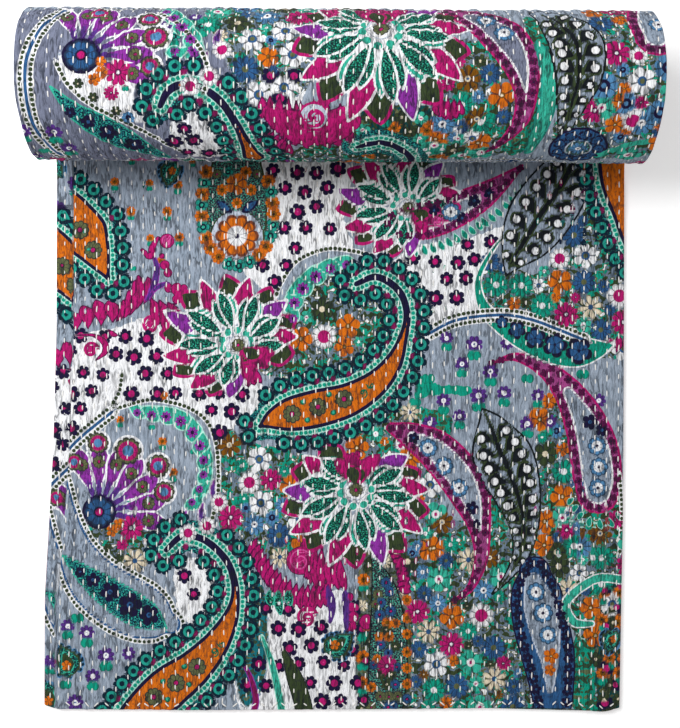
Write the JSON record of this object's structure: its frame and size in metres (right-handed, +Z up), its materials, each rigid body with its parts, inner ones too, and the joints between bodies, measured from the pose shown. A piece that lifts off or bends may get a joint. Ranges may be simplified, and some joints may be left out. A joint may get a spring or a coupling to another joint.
{
  "type": "kantha quilt, folded lengthwise and part rolled",
  "caption": "Row-stitched cotton quilt folded lengthwise, wound into a roll at one end and lying flat in front of it.",
  "frame": {"origin": "on the surface that the quilt lies on, under the middle of its outer box", "axes": "+X along the roll, +Y from the near edge of the flat stretch towards the roll, +Z up"},
  "size_m": [0.5786, 0.6752, 0.1409],
  "materials": {
    "quilted_cotton": "matt printed cotton, quilted with close rows of white running stitch"
  },
  "bodies": {
    "root": {"quilt": "quilted_cotton"}
  },
  "joints": []
}
